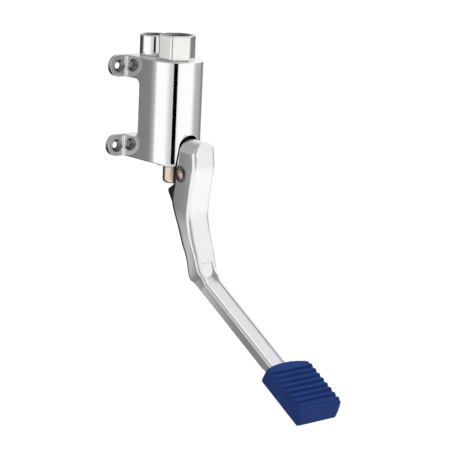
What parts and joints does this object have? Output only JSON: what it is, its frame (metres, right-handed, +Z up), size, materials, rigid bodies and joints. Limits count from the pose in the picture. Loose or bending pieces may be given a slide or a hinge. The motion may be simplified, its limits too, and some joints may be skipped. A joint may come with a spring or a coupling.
{
  "type": "foot pedal tap valve",
  "caption": "Wall-mounted foot pedal valve: chromed body with pipe ports on top, cranked lever and blue ridged rubber pad.",
  "frame": {"origin": "centre of the wall fixing hole pattern, in the wall plane", "axes": "+Z up, +Y into the wall, the pedal reaches out along -Y, +X to the right of someone who faces the wall"},
  "size_m": [0.076, 0.2338, 0.2768],
  "materials": {
    "polished_chrome": "polished",
    "satin_nickel": "satin",
    "black_rubber": "matt",
    "stainless": "satin",
    "brass": "polished",
    "bronze": "polished",
    "acetal": "matt",
    "blue_rubber": "matt"
  },
  "bodies": {
    "valve": {"valve_body": "polished_chrome", "inlet_union": "satin_nickel", "inlet_seal": "black_rubber", "inlet_strainer": "stainless", "inlet_washer": "black_rubber", "outlet_socket": "polished_chrome", "outlet_seal": "black_rubber", "spring_retainer": "stainless", "return_spring": "stainless", "valve_seat": "brass", "seat_seal": "black_rubber", "gland_bush": "brass", "gland_seal": "black_rubber", "spindle_seals": "black_rubber", "wiper_ring": "black_rubber", "pivot_bush": "bronze", "thrust_washers": "acetal"},
    "plunger": {"spindle": "stainless", "valve_disc": "black_rubber", "disc_holder": "brass", "disc_nut": "brass", "plunger_cap": "brass"},
    "lever": {"lever_arm": "polished_chrome", "pivot_pin": "bronze", "pin_circlip": "stainless", "foot_pad": "blue_rubber"}
  },
  "joints": [
    {"name": "lever_pivot", "type": "hinge", "parent": "valve", "child": "lever", "pos_m": [0, -0.0661, -0.048], "axis": [1, 0, 0], "range_deg": [0, 8], "stiffness_Nm_per_rad": 3, "springref_deg": -14.32},
    {"name": "spindle_slide", "type": "slide", "parent": "valve", "child": "plunger", "axis": [0, 0, 1], "range_m": [0, 0.0034], "deforming": ["return_spring"]}
  ],
  "couplings": [
    {"joint": "spindle_slide", "follows": "lever_pivot", "m_per_rad": 0.02394}
  ]
}
